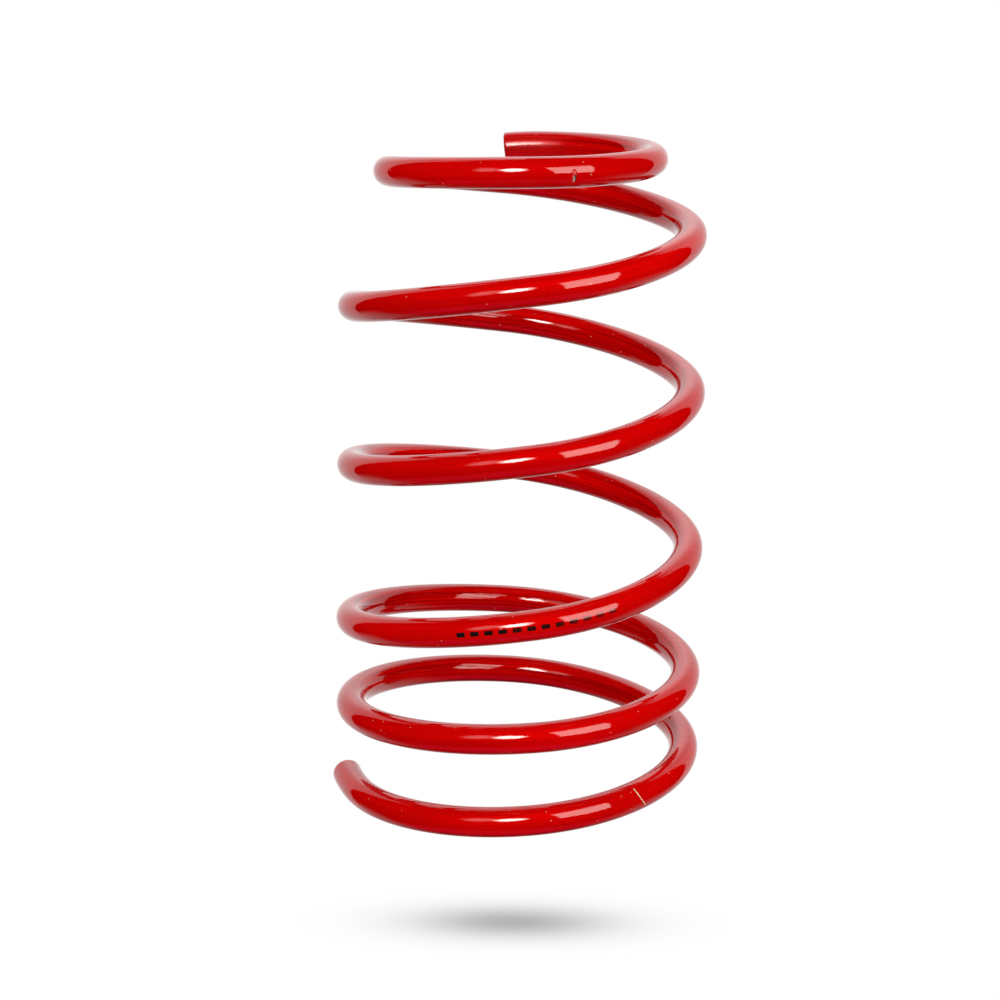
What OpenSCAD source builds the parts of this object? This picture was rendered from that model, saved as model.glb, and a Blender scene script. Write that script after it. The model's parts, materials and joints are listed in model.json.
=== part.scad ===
// Automotive coil spring: one round bar wound into a right-hand coil, closed and
// drawn in to a small coil at the top, open at the bottom. The origin is on the
// coil's axis, level with the lowest point of the bar. +Z runs along the axis.
//
// The bar is laid out the way a coiling machine makes it: a chain of stretches,
// each bent to one plain circular arc, each tangent to the one before it. At both
// ends the machine lets go a little early, so the bar's two tips are straighter.
// Under load a coil spring works by the twisting of its bar, so each stretch ends
// in a square cut on the bar's own centre line, where the next stretch can twist.

/* [Bar] */
// Diameter of the round bar
wire_d = 12.5; // [10:0.1:14]
// Number of turns that the bar is coiled through
turns = 5.76; // [5.6:0.01:6]
// Direction in which the coiling starts, turned from +X towards +Y
start_angle = 184; // [0:1:359]
// Gap between the cut faces of neighbouring stretches
joint_gap = 0.02; // [0.01:0.01:0.2]

/* [Tips of the bar] */
// Angle of coil that each tip takes the place of
tip_angle = 16; // [8:1:24]
// Radius at the very end of the lower tip
lower_tip_r = 74.3; // [72:0.1:76]
// Angle by which the lower tip runs on past the start of the coiling
lower_tip_overrun = 1; // [0:0.1:3]
// Radius at the very end of the upper tip
upper_tip_r = 54.9; // [53:0.1:57]
// Angle by which the upper tip runs on past the end of the coiling
upper_tip_overrun = 0.8; // [0:0.1:3]
// How far the upper tip dips
upper_tip_dip = 0.9; // [0:0.1:2]

/* [Coil radius, to the middle of the bar] */
// Radius of the working coils
coil_r = 72.5; // [70:0.1:76]
// Radius where the top begins to draw in
shoulder_r = 70.8; // [68:0.1:74]
// Radius of the small closed coil at the top
top_r = 53.3; // [48:0.1:66]

/* [Rise per turn] */
// Rise where the lower coil climbs out of its seat
seat_ramp_rise = 39; // [30:0.5:50]
// Rise across the first gap, above the seat
first_gap_rise = 38.5; // [30:0.5:50]
// Rise of the soft, close-wound second coil
close_rise = 29.5; // [22:0.5:36]
// Rise where the close coil opens out
opening_rise = 41; // [36:0.5:56]
// Rise of the wide working coils
working_rise = 67.5; // [50:0.5:76]
// Rise where the coil begins to close at the top
closing_rise = 53; // [30:0.5:60]
// Slight rise left in the closed top coil
top_rise = 16; // [0:1:20]
// Fall with which the top coil ends
top_fall = 30; // [0:1:40]

/* [Hidden] */
stretches = 23;
coil_sides = ["front_left", "front_right", "back_right", "back_left"];
STRETCHES = [for (i = [0:stretches - 1]) str("coil_", floor(i / 4) + 1, "_", coil_sides[i % 4])];
bar_red = [0.76, 0.02, 0.03];
section_facets = 48;
bend_facets = 192;

// Each plan is a list of [turns from the lower end, value].
radius_plan = [[0, coil_r], [1.6, coil_r], [4.4, shoulder_r], [5.2, top_r]];
rise_plan = [
    [0, 0], [0.24, seat_ramp_rise], [0.57, first_gap_rise], [1.25, close_rise],
    [1.78, opening_rise], [2, working_rise], [4.15, working_rise],
    [4.72, closing_rise], [5.35, 0], [5.6, top_rise], [5.76, -top_fall]
];

function smooth(u) = u * u * (3 - 2 * u);

// The radius eases from each entry of its plan to the next, and holds after the last.
function leg_radius(a, b, t) = a[1] + (b[1] - a[1]) * smooth((t - a[0]) / (b[0] - a[0]));
function radius_at(t, k = 0) =
    k == len(radius_plan) - 1 ? radius_plan[k][1]
    : t < radius_plan[k + 1][0] ? leg_radius(radius_plan[k], radius_plan[k + 1], t)
    : radius_at(t, k + 1);

// The rise per turn runs straight between its entries, so the height gained over
// a leg is the leg's length times its mean rise.
function leg_height(a, b, t) =
    let (stop = min(t, b[0]))
    t <= a[0] ? 0 : (stop - a[0]) * (a[1] + lookup(stop, rise_plan)) / 2;
function height_at(t, k = 0) =
    k == len(rise_plan) - 1 ? 0
    : leg_height(rise_plan[k], rise_plan[k + 1], t) + height_at(t, k + 1);

function around(angle, r, z) = [r * cos(angle), r * sin(angle), z];

// A station is the point on the bar's centre line where two stretches meet.
function station_turn(i) = i * turns / stretches;
function station(i) =
    let (t = station_turn(i))
    around(start_angle + 360 * t, radius_at(t), wire_d / 2 + height_at(t));

function unit(v) = v / norm(v);

// An arc that leaves a station along t and passes through the next one arrives
// there along the mirror image of t in the chord.
function mirrored(t, chord) = 2 * (t * chord) * chord - t;

first_tangent = [-sin(start_angle), cos(start_angle), 0];
stations = [for (i = [0:stretches]) station(i)];
chords = [for (i = [0:stretches - 1]) stations[i + 1] - stations[i]];
tangents = [
    for (i = 0, t = first_tangent; i < stretches; t = mirrored(t, unit(chords[i])), i = i + 1) t
];

// An arc is [where it starts, its tangent there, the way to its centre, its radius,
// the angle it sweeps]. This is the one that leaves p along t and passes through q.
function arc(p, t, q) =
    let (chord = q - p, across = chord - (chord * t) * t)
    [p, t, unit(across), (chord * chord) / (2 * norm(across)), 2 * atan2(norm(across), chord * t)];
function arc_point(arc, a) = arc[0] + arc[3] * ((1 - cos(a)) * arc[2] + sin(a) * arc[1]);
function arc_tangent(arc, a) = cos(a) * arc[1] + sin(a) * arc[2];

bends = [for (i = [0:stretches - 1]) arc(stations[i], tangents[i], stations[i + 1])];
first = bends[0];
last = bends[stretches - 1];

// Each tip leaves the coiled part along its tangent and runs to the bar's end. The
// lower tip is laid out from the coil outwards, against the run of the bar.
lower_tip = arc(
    arc_point(first, tip_angle),
    -arc_tangent(first, tip_angle),
    around(start_angle - lower_tip_overrun, lower_tip_r, wire_d / 2)
);
upper_joint = arc_point(last, last[4] - tip_angle);
upper_tip = arc(
    upper_joint,
    arc_tangent(last, last[4] - tip_angle),
    around(
        start_angle + 360 * turns + upper_tip_overrun,
        upper_tip_r,
        upper_joint[2] - upper_tip_dip
    )
);

// Round bar along an arc between two angles of it, with half the joint gap taken
// off each end.
module bar(arc, from, to) {
    binormal = cross(arc[1], arc[2]);
    centre = arc[0] + arc[3] * arc[2];
    trim = (joint_gap / 2) / arc[3] * 180 / PI;
    color(bar_red)
    multmatrix([
        [-arc[2][0], arc[1][0], binormal[0], centre[0]],
        [-arc[2][1], arc[1][1], binormal[1], centre[1]],
        [-arc[2][2], arc[1][2], binormal[2], centre[2]]
    ])
    rotate([0, 0, from + trim])
    rotate_extrude(angle = to - from - 2 * trim, $fn = bend_facets)
    translate([arc[3], 0])
    circle(d = wire_d, $fn = section_facets);
}

module stretch(i)
    bar(
        bends[i],
        i == 0 ? tip_angle : 0,
        i == stretches - 1 ? last[4] - tip_angle : bends[i][4]
    );

bar(lower_tip, 0, lower_tip[4]);
for (i = [0:stretches - 1])
    stretch(i);
bar(upper_tip, 0, upper_tip[4]);
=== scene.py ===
"""Looks of the coil spring: one painted bar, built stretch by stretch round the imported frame."""

import json
import math
from collections import namedtuple

import bmesh
import bpy
from mathutils import Matrix, Vector


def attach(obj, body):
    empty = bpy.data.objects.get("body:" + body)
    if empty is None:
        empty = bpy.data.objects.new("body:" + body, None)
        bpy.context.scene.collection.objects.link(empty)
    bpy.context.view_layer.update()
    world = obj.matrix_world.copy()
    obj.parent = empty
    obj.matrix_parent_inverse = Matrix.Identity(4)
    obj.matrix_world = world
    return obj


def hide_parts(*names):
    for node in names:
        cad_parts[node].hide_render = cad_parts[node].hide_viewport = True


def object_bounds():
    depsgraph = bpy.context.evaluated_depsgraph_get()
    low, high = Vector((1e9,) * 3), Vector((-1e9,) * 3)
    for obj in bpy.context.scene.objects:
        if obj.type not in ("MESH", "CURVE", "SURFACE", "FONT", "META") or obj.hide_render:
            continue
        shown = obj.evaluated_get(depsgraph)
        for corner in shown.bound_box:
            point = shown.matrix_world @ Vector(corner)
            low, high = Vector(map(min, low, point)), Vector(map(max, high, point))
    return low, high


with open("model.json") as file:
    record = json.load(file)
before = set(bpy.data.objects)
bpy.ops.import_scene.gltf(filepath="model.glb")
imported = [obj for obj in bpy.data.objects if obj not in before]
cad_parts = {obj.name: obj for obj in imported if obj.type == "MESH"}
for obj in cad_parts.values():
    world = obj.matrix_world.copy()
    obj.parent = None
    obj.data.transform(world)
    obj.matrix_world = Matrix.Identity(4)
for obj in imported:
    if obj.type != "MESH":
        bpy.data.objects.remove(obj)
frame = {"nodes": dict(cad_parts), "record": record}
cad_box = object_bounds()
record = frame["record"]
MM = 0.001
DEGREES = 180 / math.pi

# ---------------------------------------------------------------- the bar's line

BAR_NODES = [part["node"] for part in record["subparts"]]
MOUNTS = {mount["name"]: mount for mount in record["mounts"]}
BODY_OF = {node: body for body, nodes in record["behaviour"]["bodies"].items() for node in nodes}

Cut = namedtuple("Cut", "ahead centre radius")


def cut_faces(node):
    """The two flat cut faces of a stretch: the one that it starts from, the one that it ends at."""
    alike = {}
    for face in frame["nodes"][node].data.polygons:
        alike.setdefault(tuple(round(c, 3) for c in face.normal), []).append(face)
    flat = sorted(alike.items(), key=lambda item: -sum(f.area for f in item[1]))[:2]
    cuts = []
    for normal, faces in flat:
        area = sum(f.area for f in faces)
        centre = sum((f.area * f.center for f in faces), Vector()) / area
        ahead = Vector((-centre.y, centre.x, 0)).dot(Vector(normal))
        cuts.append(Cut(ahead, centre, math.sqrt(area / math.pi)))
    return sorted(cuts, key=lambda cut: cut.ahead)


# The frame's bar has many flat sides, so the area of a cut gives its radius a little small.
RADIUS_STEP = 0.05 * MM
CUTS = [cut_faces(node) for node in BAR_NODES]
BAR_R = round(max(cut.radius for cuts in CUTS for cut in cuts) / RADIUS_STEP) * RADIUS_STEP
STATIONS = [Vector(MOUNTS["lower_bar_end"]["pos_m"])]
STATIONS += [(before[1].centre + after[0].centre) / 2 for before, after in zip(CUTS, CUTS[1:])]
STATIONS += [Vector(MOUNTS["upper_bar_end"]["pos_m"])]


class Arc:
    """The plain circular arc that leaves start along ahead and passes through end."""

    def __init__(self, start, ahead, end):
        chord = end - start
        across = chord - chord.dot(ahead) * ahead
        self.ahead = ahead
        self.inward = across.normalized()
        self.side = ahead.cross(self.inward)
        self.radius = chord.length_squared / (2 * across.length)
        self.sweep = 2 * math.atan2(across.length, chord.dot(ahead))
        self.centre = start + self.radius * self.inward
        self.length = self.radius * self.sweep

    def outward(self, angle):
        return math.sin(angle) * self.ahead - math.cos(angle) * self.inward

    def tangent(self, angle):
        return math.cos(angle) * self.ahead + math.sin(angle) * self.inward

    def point(self, angle):
        return self.centre + self.radius * self.outward(angle)


def bar_arcs():
    """The bar's arcs, each tangent to the one before it."""
    ahead = -Vector(MOUNTS["lower_bar_end"]["axis"])
    arcs = []
    for start, end in zip(STATIONS, STATIONS[1:]):
        arcs.append(Arc(start, ahead.normalized(), end))
        ahead = arcs[-1].tangent(arcs[-1].sweep)
    return arcs


# ---------------------------------------------------------------- the bar's mesh

SIDES = 56
RINGS = 40
SKIN = 0.01 * MM
CUT_GAP = 0.02 * MM
CUT_ROUND = 1.2 * MM
CUT_ROUND_STEPS = 6


def add_ring(bm, layers, arc, angle, roll, run, radius):
    """One ring of vertices round the bar. bar_space is the place on the bar if it were straight;
    inner_side is 1 where the bar faces the coil's axis and -1 where it faces away."""
    bar_space, inner_side = layers
    centre = arc.point(angle)
    outward = arc.outward(angle)
    to_axis = Vector((-centre.x, -centre.y, 0)).normalized()
    ring = []
    for k in range(SIDES):
        turn = 2 * math.pi * k / SIDES
        way = math.cos(turn + roll) * outward + math.sin(turn + roll) * arc.side
        vertex = bm.verts.new(centre + radius * way)
        vertex[bar_space] = Vector((run, radius * math.cos(turn), radius * math.sin(turn)))
        vertex[inner_side] = way.dot(to_axis)
        ring.append((vertex, way))
    return ring


def bridge(bm, low, high):
    for k in range(SIDES):
        n = (k + 1) % SIDES
        bm.faces.new((low[k][0], high[k][0], high[n][0], low[n][0])).smooth = True


def close_with_disc(bm, ring, facing_back):
    verts = [v for v, _ in ring]
    face = bm.faces.new(verts if facing_back else verts[::-1])
    face.smooth = False


def stretch_mesh(name, arc, roll, run, first, last):
    """A stretch of round bar. The bar's own two ends have a rounded rim where the bar was cropped."""
    bm = bmesh.new()
    layers = (bm.verts.layers.float_vector.new("bar_space"), bm.verts.layers.float.new("inner_side"))
    rings = []
    smooth_sides = []

    def ring_at(angle, radius=BAR_R - SKIN, plain=True):
        ring = add_ring(bm, layers, arc, angle, roll, run + angle * arc.radius, radius)
        rings.append(ring)
        smooth_sides.extend((v, way if plain else Vector()) for v, way in ring)

    edge = CUT_ROUND / arc.radius
    gap = CUT_GAP / 2 / arc.radius
    rim = [math.pi / 2 * k / CUT_ROUND_STEPS for k in range(CUT_ROUND_STEPS)]
    rim = [(edge * (1 - math.cos(a)), BAR_R - CUT_ROUND * (1 - math.sin(a))) for a in rim]
    start = edge if first else gap
    stop = arc.sweep - (edge if last else gap)
    if first:
        for inset, radius in rim:
            ring_at(inset, radius, plain=False)
    for k in range(RINGS + 1):
        ring_at(start + (stop - start) * k / RINGS)
    if last:
        for inset, radius in reversed(rim):
            ring_at(arc.sweep - inset, radius, plain=False)
    for low, high in zip(rings, rings[1:]):
        bridge(bm, low, high)
    close_with_disc(bm, rings[0], True)
    close_with_disc(bm, rings[-1], False)

    bm.verts.index_update()
    normals = [(0.0, 0.0, 0.0)] * len(bm.verts)
    for v, way in smooth_sides:
        normals[v.index] = tuple(way)
    mesh = bpy.data.meshes.new(name)
    bm.to_mesh(mesh)
    bm.free()
    mesh.normals_split_custom_set_from_vertices(normals)
    return mesh


# ---------------------------------------------------------------- node trees


class Nodes:
    """A short way to write a node tree. An input is a constant or another node's output."""

    def __init__(self, tree):
        self.tree = tree
        tree.nodes.clear()

    def node(self, kind, inputs=(), **settings):
        node = self.tree.nodes.new(kind)
        for key, value in settings.items():
            setattr(node, key, value)
        for key, value in dict(inputs).items():
            if isinstance(value, bpy.types.NodeSocket):
                self.tree.links.new(value, node.inputs[key])
            else:
                node.inputs[key].default_value = value
        return node

    def add(self, kind, inputs=(), out=0, **settings):
        """Adds a node and returns one of its outputs."""
        return self.node(kind, inputs, **settings).outputs[out]

    def split(self, vector):
        return self.node("ShaderNodeSeparateXYZ", {0: vector}).outputs

    def math(self, operation, *values):
        return self.add("ShaderNodeMath", enumerate(values), operation=operation)

    def times(self, first, *others):
        for other in others:
            first = self.math("MULTIPLY", first, other)
        return first

    def vector(self, operation, *values, out=0):
        return self.add("ShaderNodeVectorMath", enumerate(values), out, operation=operation)

    def ramp(self, value, low, high, out_low=0.0, out_high=1.0):
        """Smooth step from out_low at low to out_high at high."""
        inputs = {0: value, 1: low, 2: high, 3: out_low, 4: out_high}
        return self.add("ShaderNodeMapRange", inputs, interpolation_type="SMOOTHSTEP")

    def mix(self, factor, a, b):
        """Colour a where the factor is 0, colour b where it is 1."""
        return self.add("ShaderNodeMix", {0: factor, 6: a, 7: b}, out=2, data_type="RGBA")


# ---------------------------------------------------------------- the coat

COAT_RED = (0.78, 0.0010, 0.0008, 1)
COAT_RED_DEEP = (0.60, 0.0006, 0.0006, 1)
COAT_RED_SHADE = (0.40, 0.0004, 0.0004, 1)
PALE_DUST = (0.80, 0.40, 0.30, 1)
BARE_PRIMER = (0.85, 0.72, 0.42, 1)
BARE_STEEL = (0.46, 0.44, 0.40, 1)
# Near-black red painted as the shadow along the edge of the nick's dent.
PAINTED_NICK_SHADE = (0.035, 0.004, 0.008, 1)
INK = (0.010, 0.006, 0.006, 1)

COAT_IOR = 1.5
GLOSS_ROUGH = (0.012, 0.03)
MARK_ROUGH = 0.35
DULL_ROUGH = 0.2

# Depths of the coat's relief, in mm. The drawn lines are deeper on the coil's inner side.
LINE_DEPTH = 0.016
INNER_LINE_DEPTH = 0.022
WAVE_DEPTH = 0.05
DIMPLE_DEPTH = 0.010
PEEL_DEPTH = 0.0012
NICK_DEPTH = 0.25
SCRATCH_DEPTH = 0.03

# Places on the bar are a run in mm from its lower end and a turn round it in degrees.
# A spot is its run, its turn and half its size both ways.
NICK_DENT = (2352.3, 139, 0.9, 28)
NICK_SHADOW = (2352.7, 136, 0.34, 13)
NICK_METAL = (2352.2, 131, 0.36, 12)
SCRATCH_RUN = 163.0
SCRATCH_SLANT = -0.066
SCRATCH_BEND = 0.00052
SCRATCH_TURN = (19, 39, 5)
SPECK_R = 0.34
SPECKLED_RUN = (170, 30, 14)
DASHES_START = 1001.5
DASH_PITCH = 5.34
DASH_LENGTH = 3.2
DASH_COUNT = 12
DASH_TURN = (-54, 8, 1.5)
DULL_END_RUN = (2465, 2492)


class BarPlace:
    """Where a point of the surface lies: run along the bar in mm, turn round it in degrees."""

    def __init__(self, n):
        self.n = n
        self.vector = n.add("ShaderNodeAttribute", attribute_name="bar_space", out=1)
        along, x, y = n.split(self.vector)
        self.run = n.times(along, 1 / MM)
        self.turn = n.times(n.math("ARCTAN2", y, x), DEGREES)

    def grain(self, along, scale, detail=2.0):
        """Noise of a scale per metre. It is drawn out along the bar where along is below 1."""
        inputs = {
            "Vector": self.n.vector("MULTIPLY", self.vector, (along, 1, 1)),
            "Scale": scale,
            "Detail": detail,
        }
        return self.n.add("ShaderNodeTexNoise", inputs)

    def spot(self, run, turn, half_run, half_turn, ragged, soft=0.2):
        """An oval mark, with its edge made uneven by fine noise."""
        n = self.n
        along = n.math("DIVIDE", n.math("SUBTRACT", self.run, run), half_run)
        across = n.math("DIVIDE", n.math("SUBTRACT", self.turn, turn), half_turn)
        reach = n.math("ADD", n.times(along, along), n.times(across, across))
        reach = n.math("MULTIPLY_ADD", self.grain(1, 2500, 1), ragged, reach)
        edge = 1 + ragged / 2
        return n.ramp(reach, edge - soft, edge + soft, 1.0, 0.0)

    def band(self, value, middle, half, soft):
        """1 within half of the middle, falling away to 0 over soft."""
        off = self.n.math("ABSOLUTE", self.n.math("SUBTRACT", value, middle))
        return self.n.ramp(off, half, half + soft, 1.0, 0.0)


def scratch_mask(n, place):
    """A thin scratch right across the lowest coil, slightly bent."""
    line = n.math("MULTIPLY_ADD", place.turn, SCRATCH_BEND, SCRATCH_SLANT)
    line = n.math("MULTIPLY_ADD", line, place.turn, SCRATCH_RUN)
    off = n.math("ABSOLUTE", n.math("SUBTRACT", place.run, line))
    half_width = n.ramp(place.grain(1, 900, 1), 0.3, 0.7, 0.12, 0.26)
    stroke = n.ramp(n.math("SUBTRACT", off, half_width), 0.0, 0.1, 1.0, 0.0)
    return n.times(stroke, place.band(place.turn, *SCRATCH_TURN))


def speck_mask(n, place, scale, share):
    """Small specks of dust caught in the coat: one in a share of the cells of a scale per metre."""
    cells = n.node("ShaderNodeTexVoronoi", {"Vector": place.vector, "Scale": scale}).outputs
    kept = n.math("LESS_THAN", n.add("ShaderNodeSeparateColor", {0: cells["Color"]}), share)
    reach = n.times(cells["Distance"], 1 / MM / scale)
    return n.times(n.ramp(reach, SPECK_R * 0.6, SPECK_R, 1.0, 0.0), kept)


def specks_mask(n, place):
    """A few specks all over the bar, more of them next to the scratch."""
    crowd = n.times(speck_mask(n, place, 340, 0.85), place.band(place.run, *SPECKLED_RUN))
    return n.math("MAXIMUM", speck_mask(n, place, 200, 0.8), crowd)


def dashes_mask(n, place):
    """A plain row of dashes in worn ink on the front of the third coil."""
    half_row = DASH_PITCH * DASH_COUNT / 2
    middle = DASHES_START + half_row
    beat = n.math("SUBTRACT", place.run, DASHES_START)
    beat = n.math("FRACT", n.math("DIVIDE", beat, DASH_PITCH))
    inked, edge = DASH_LENGTH / DASH_PITCH, 0.03
    dash = n.times(n.ramp(beat, inked, inked + edge, 1.0, 0.0), n.ramp(beat, 0.0, edge))
    row = place.band(place.run, middle, half_row - 0.1, 0.1)
    worn = n.ramp(place.grain(1, 900), 0.28, 0.36, 0.8, 1.0)
    fading = n.ramp(place.run, middle, middle + half_row, 1.0, 0.6)
    return n.times(dash, row, place.band(place.turn, *DASH_TURN), worn, fading)


def coat_height(n, place, inner, nick, scratch):
    """Height of the coat in mm."""
    line_depth = n.math("MULTIPLY_ADD", inner, INNER_LINE_DEPTH, LINE_DEPTH)
    height = n.times(place.grain(0.25, 220), WAVE_DEPTH)
    height = n.math("MULTIPLY_ADD", place.grain(0.05, 1300), line_depth, height)
    height = n.math("MULTIPLY_ADD", place.grain(0.5, 620), DIMPLE_DEPTH, height)
    height = n.math("MULTIPLY_ADD", place.grain(1, 1500, 1), PEEL_DEPTH, height)
    height = n.math("MULTIPLY_ADD", nick, -NICK_DEPTH, height)
    return n.math("MULTIPLY_ADD", scratch, -SCRATCH_DEPTH, height)


def coat_colour(n, place, inner, scratch):
    """Slightly cloudy red, darker in streaks where it lies thin, the streaks deepened on the coil's
    inner side as painted shade, and the marks on it.
    """
    clouds = n.ramp(place.grain(0.25, 90, 3), 0.3, 0.7, 0.0, 0.6)
    streaks_and_inner_shade = n.ramp(place.grain(0.012, 800, 3), 0.42, 0.62)
    # Painted shade: the streaks darken far more on the coil's inner side, where the coils shade each
    # other.
    streaks_and_inner_shade = n.times(streaks_and_inner_shade, n.math("MULTIPLY_ADD", inner, 0.65, 0.2))
    colour = n.mix(clouds, COAT_RED, COAT_RED_DEEP)
    colour = n.mix(streaks_and_inner_shade, colour, COAT_RED_SHADE)
    colour = n.mix(n.times(specks_mask(n, place), 0.8), colour, PALE_DUST)
    colour = n.mix(dashes_mask(n, place), colour, INK)
    colour = n.mix(scratch, colour, BARE_PRIMER)
    # Painted shadow along one side of the nick's dent.
    colour = n.mix(place.spot(*NICK_SHADOW, ragged=0.5), colour, PAINTED_NICK_SHADE)
    return n.mix(place.spot(*NICK_METAL, ragged=0.6), colour, BARE_STEEL)


def coat_roughness(n, place, inner, nick, scratch):
    """Glossy, but rough in the marks and dull inside the bar's upper end."""
    rough = n.ramp(place.grain(1, 300), 0.3, 0.7, *GLOSS_ROUGH)
    marks = n.times(n.math("MAXIMUM", nick, scratch), MARK_ROUGH)
    dull_end = n.times(inner, n.ramp(place.run, *DULL_END_RUN), DULL_ROUGH)
    return n.math("MAXIMUM", n.math("MAXIMUM", rough, marks), dull_end)


def coat_material():
    """Thick glossy red powder coat over a drawn bar, with a few marks of handling."""
    material = bpy.data.materials.new("red_powder_coat")
    material.use_nodes = True
    n = Nodes(material.node_tree)
    place = BarPlace(n)
    inner = n.add("ShaderNodeAttribute", attribute_name="inner_side", out=2)
    inner = n.ramp(inner, -0.1, 0.6)
    nick = place.spot(*NICK_DENT, ragged=0.5, soft=0.4)
    scratch = scratch_mask(n, place)
    height = coat_height(n, place, inner, nick, scratch)
    shader = n.add("ShaderNodeBsdfPrincipled", {
        "Base Color": coat_colour(n, place, inner, scratch),
        "Roughness": coat_roughness(n, place, inner, nick, scratch),
        "Normal": n.add("ShaderNodeBump", {"Strength": 1.0, "Distance": MM, "Height": height}),
        "IOR": COAT_IOR,
    })
    n.node("ShaderNodeOutputMaterial", {"Surface": shader})
    return material


# ---------------------------------------------------------------- building the bar


def build_bar():
    """One piece for each stretch. The roll carries bar_space on from one arc's plane to the next."""
    material = coat_material()
    roll = 0.0
    run = 0.0
    arcs = bar_arcs()
    for index, (node, arc) in enumerate(zip(BAR_NODES, arcs)):
        name = "bar_" + node
        mesh = stretch_mesh(name, arc, roll, run, index == 0, index == len(arcs) - 1)
        piece = bpy.data.objects.new(name, mesh)
        bpy.context.scene.collection.objects.link(piece)
        mesh.materials.append(material)
        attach(piece, BODY_OF[node])
        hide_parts(node)
        run += arc.length
        if index + 1 < len(arcs):
            after = arcs[index + 1].outward(0)
            roll -= math.atan2(after.dot(arc.side), after.dot(arc.outward(arc.sweep)))


build_bar()

# ---------------------------------------------------------------- camera and floor

CAMERA_AIM = Vector((-8.5, 0, 128.7)) * MM
CAMERA_DISTANCE = 1.0061
CAMERA_PITCH = math.radians(13.472)
CAMERA_LEAN = math.radians(0.567)
CAMERA_LENS = 84.76
CAMERA_SENSOR = 36
CAMERA_REACH = 50

FLOOR_DROP = 65 * MM
FLOOR_HALF = 6
SHADOW_WIDTH = 0.045
SHADOW_BREADTH = 0.0177
SHADOW_DEPTH = 0.54


def camera():
    """Product view: a long lens a metre away, looking a little down and a touch out of level."""
    data = bpy.data.cameras.new("camera")
    data.lens = CAMERA_LENS
    data.sensor_width = CAMERA_SENSOR
    data.clip_end = CAMERA_REACH
    forward = Vector((0, math.cos(CAMERA_PITCH), -math.sin(CAMERA_PITCH)))
    level, up = Vector((1, 0, 0)), Vector((0, math.sin(CAMERA_PITCH), math.cos(CAMERA_PITCH)))
    right = math.cos(CAMERA_LEAN) * level + math.sin(CAMERA_LEAN) * up
    above = math.cos(CAMERA_LEAN) * up - math.sin(CAMERA_LEAN) * level
    turned = Matrix((right, above, -forward)).transposed().to_4x4()
    seat = bpy.data.objects.new("camera", data)
    seat.matrix_world = Matrix.Translation(CAMERA_AIM - CAMERA_DISTANCE * forward) @ turned
    bpy.context.scene.collection.objects.link(seat)
    bpy.context.scene.camera = seat


def floor_material(spot):
    """White, with a soft painted shadow round the spot."""
    material = bpy.data.materials.new("white_floor_painted_shadow")
    material.use_nodes = True
    n = Nodes(material.node_tree)
    offset = n.vector("SUBTRACT", n.add("ShaderNodeNewGeometry", out=0), spot)
    scaled = n.vector("MULTIPLY", offset, (1 / SHADOW_WIDTH, 1 / SHADOW_BREADTH, 0))
    reach = n.vector("LENGTH", scaled, out=1)
    # Painted shadow: the white darkens in a soft oval round the spot.
    painted_shadow = n.math("EXPONENT", n.times(n.math("POWER", reach, 2.0), -1.0))
    level = n.math("SUBTRACT", 1.0, n.times(painted_shadow, SHADOW_DEPTH))
    white = n.add("ShaderNodeEmission", {"Color": (1, 1, 1, 1), "Strength": level})
    n.node("ShaderNodeOutputMaterial", {"Surface": white})
    return material


def floor():
    """A plain white floor with a soft painted shadow under the object, seen only by the camera."""
    lowest, highest = cad_box
    middle = (lowest + highest) / 2
    level = lowest.z - FLOOR_DROP
    bm = bmesh.new()
    signs = ((-1, -1), (1, -1), (1, 1), (-1, 1))
    bm.faces.new([bm.verts.new((sx * FLOOR_HALF, sy * FLOOR_HALF, level)) for sx, sy in signs])
    mesh = bpy.data.meshes.new("floor")
    bm.to_mesh(mesh)
    bm.free()
    mesh.materials.append(floor_material((middle.x, middle.y, level)))
    plane = bpy.data.objects.new("floor", mesh)
    bpy.context.scene.collection.objects.link(plane)
    plane.visible_glossy = False
    plane.visible_diffuse = False
    plane.visible_shadow = False


# ---------------------------------------------------------------- the room round the object

FLOOR_BOUNCE = (1, 0.02, 0.08, 1)
FLOOR_BOUNCE_STRENGTH = 1.7
RED_GLOW = (1, 0.0, 0.0, 1)
RED_GLOW_STRENGTH = 2.2


class RoomPlace:
    """Where a ray that leaves the object points, in degrees: from_back is how far it turns away
    from straight behind the object, up is how far it rises."""

    def __init__(self, n):
        self.n = n
        x, self.back, z = n.split(n.add("ShaderNodeTexCoord", out=0))
        self.from_back = n.times(n.math("ARCTAN2", n.math("ABSOLUTE", x), self.back), DEGREES)
        self.up = n.times(n.math("ARCSINE", z), DEGREES)
        self.right = n.math("GREATER_THAN", x, 0.0)
        self.left = n.math("SUBTRACT", 1.0, self.right)

    def either(self, value, right_edge, left_edge):
        """1 below the edge, 0 above it. The edge differs between the right and the left."""
        n = self.n
        on_right = n.times(self.right, n.ramp(value, *right_edge, 1.0, 0.0))
        on_left = n.times(self.left, n.ramp(value, *left_edge, 1.0, 0.0))
        return n.math("ADD", on_right, on_left)


def white_paper(n, room):
    """White paper behind the object, brighter above."""
    sides = room.either(room.from_back, (54, 56), (52, 55))
    top = room.either(room.up, (46, 54), (54, 70))
    middle = n.ramp(room.up, 8, 32, 1.0, 1.65)
    level = n.ramp(room.from_back, 5, 35, middle, 0.85)
    return n.times(sides, top, level, n.ramp(room.up, -62, -30))


def white_table(n, room):
    """The white table, below and beside the object."""
    sides = room.either(room.from_back, (60, 110), (60, 85))
    top = n.ramp(room.up, -38, -16, 1.0, 0.0)
    return n.times(sides, top, n.ramp(room.up, -72, -40, 0.0, 0.55))


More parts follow.
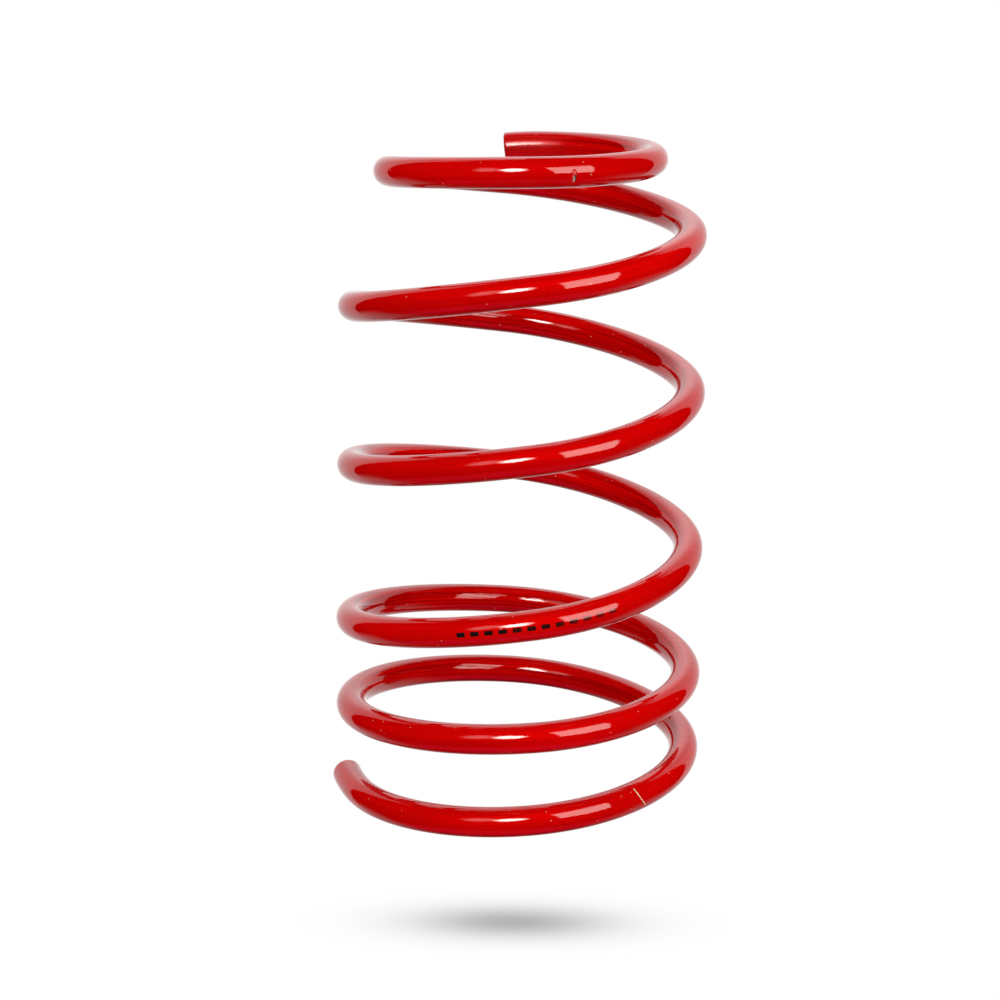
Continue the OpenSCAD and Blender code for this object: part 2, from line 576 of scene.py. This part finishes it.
def floor_bounce(n, room):
    """Light that comes back from the floor in front."""
    top = n.ramp(room.up, -54, -38, 1.0, 0.0)
    return n.times(top, n.ramp(room.up, -90, -80, 0.7, 1.0), n.ramp(room.back, -0.1, 0.3, 1.0, 0.0))


def red_glow(n, room):
    """A red gleam from the front, where the photographer's room would show in the coat."""
    band = n.times(n.ramp(room.up, -5, 20), n.ramp(room.up, 50, 80, 1.0, 0.0))
    return n.times(band, n.ramp(room.from_back, 110, 160))


def daylight(n, room):
    """Soft light for the coat's own colour: weaker from below, from behind and from the front."""
    low = n.ramp(room.up, -50, 0, 0.42, 1.0)
    sides = n.ramp(room.from_back, 45, 80, 0.35, 0.80)
    sides = n.times(sides, n.ramp(room.from_back, 105, 135, 1.0, 0.55))
    return n.times(low, sides, n.ramp(room.up, 50, 80, 1.0, 1.12))


def studio_world():
    """A white room behind the object and a dark one in front of it, as its gloss shows them. The
    camera sees plain white, and the coat's own colour is lit by softer light."""
    world = bpy.data.worlds.new("studio")
    bpy.context.scene.world = world
    world.use_nodes = True
    world.cycles.sampling_method = "NONE"
    n = Nodes(world.node_tree)
    room = RoomPlace(n)
    path = n.node("ShaderNodeLightPath").outputs
    seen, diffuse = path["Is Camera Ray"], path["Is Diffuse Ray"]
    shiny = n.math("SUBTRACT", n.math("SUBTRACT", 1.0, diffuse), seen)

    white = n.times(shiny, n.math("MAXIMUM", white_paper(n, room), white_table(n, room)))
    white = n.math("MULTIPLY_ADD", diffuse, daylight(n, room), white)
    white = n.math("MAXIMUM", white, seen)
    bounce = n.times(shiny, floor_bounce(n, room), FLOOR_BOUNCE_STRENGTH)
    glow = n.times(shiny, red_glow(n, room), RED_GLOW_STRENGTH)

    total = n.add("ShaderNodeBackground", {"Color": (1, 1, 1, 1), "Strength": white})
    for colour, strength in ((FLOOR_BOUNCE, bounce), (RED_GLOW, glow)):
        tint = n.add("ShaderNodeBackground", {"Color": colour, "Strength": strength})
        total = n.add("ShaderNodeAddShader", {0: total, 1: tint})
    n.node("ShaderNodeOutputWorld", {"Surface": total})


# ---------------------------------------------------------------- softboxes

WARM_WHITE = (1.0, 0.95, 0.89)
LIT_MIDDLE = Vector((0, 0, 140)) * MM


def disc_profile(n, u, v, core):
    """Full inside the core, then falling away smoothly to nothing at the rim."""
    reach = n.math("SQRT", n.math("ADD", n.math("POWER", u, 2.0), n.math("POWER", v, 2.0)))
    return n.ramp(reach, core, 1.0, 1.0, 0.0)


def panel_profile(n, u, v, core):
    """Full up to close to the edges, which are soft, and weaker towards the top."""
    sides = n.ramp(n.math("ABSOLUTE", u), core, 1.0, 1.0, 0.0)
    ends = n.ramp(n.math("ABSOLUTE", v), core, 1.0, 1.0, 0.0)
    return n.times(sides, ends, n.ramp(v, 0.5, 0.95, 1.0, 0.55))


# Each row: name, azimuth from the camera's side and elevation in degrees, distance, width and
# height in metres, strength. A box that gives only highlights also has the profile of its
# face, and the share of the face that is fully bright.
SOFTBOXES = [
    ("key_gloss", -8, 28, 1.55, 0.66, 0.74, 30, disc_profile, 0.35),
    ("key_halo", -29, 29, 1.5, 0.64, 0.9, 2.3, disc_profile, 0.35),
    ("side_gloss", 39, 25, 1.05, 0.64, 0.84, 5.8, panel_profile, 0.88),
    ("key_light", -6, 27, 1.55, 0.60, 0.48, 7.0),
    ("side_light", 37.5, 23, 1.05, 0.72, 0.76, 1.5),
]


def softbox(name, azimuth, elevation, distance, width, height, strength, profile=None, core=1.0):
    """A softbox that faces the object. With a profile it gives only highlights, without one it
    lights only the coat's own colour."""
    a, e = math.radians(azimuth), math.radians(elevation)
    way = Vector((math.sin(a) * math.cos(e), -math.cos(a) * math.cos(e), math.sin(e)))
    data = bpy.data.lights.new(name, "AREA")
    data.shape = "RECTANGLE"
    data.size, data.size_y = width, height
    data.energy = strength * width * height * math.pi
    data.color = WARM_WHITE
    box = bpy.data.objects.new(name, data)
    turned = way.to_track_quat("Z", "Y").to_matrix().to_4x4()
    box.matrix_world = Matrix.Translation(LIT_MIDDLE + distance * way) @ turned
    box.visible_camera = False
    box.visible_glossy = profile is not None
    box.visible_diffuse = profile is None
    if profile:
        data.use_nodes = True
        n = Nodes(data.node_tree)
        across, along, _ = n.split(n.add("ShaderNodeNewGeometry", out=5))
        u = n.math("MULTIPLY_ADD", across, 2.0, -1.0)
        v = n.math("MULTIPLY_ADD", along, 2.0, -1.0)
        light = n.add("ShaderNodeEmission", {"Strength": profile(n, u, v, core)})
        n.node("ShaderNodeOutputLight", {"Surface": light})
    bpy.context.scene.collection.objects.link(box)


camera()
studio_world()
floor()
for row in SOFTBOXES:
    softbox(*row)

bpy.context.scene.view_settings.view_transform = "Standard"
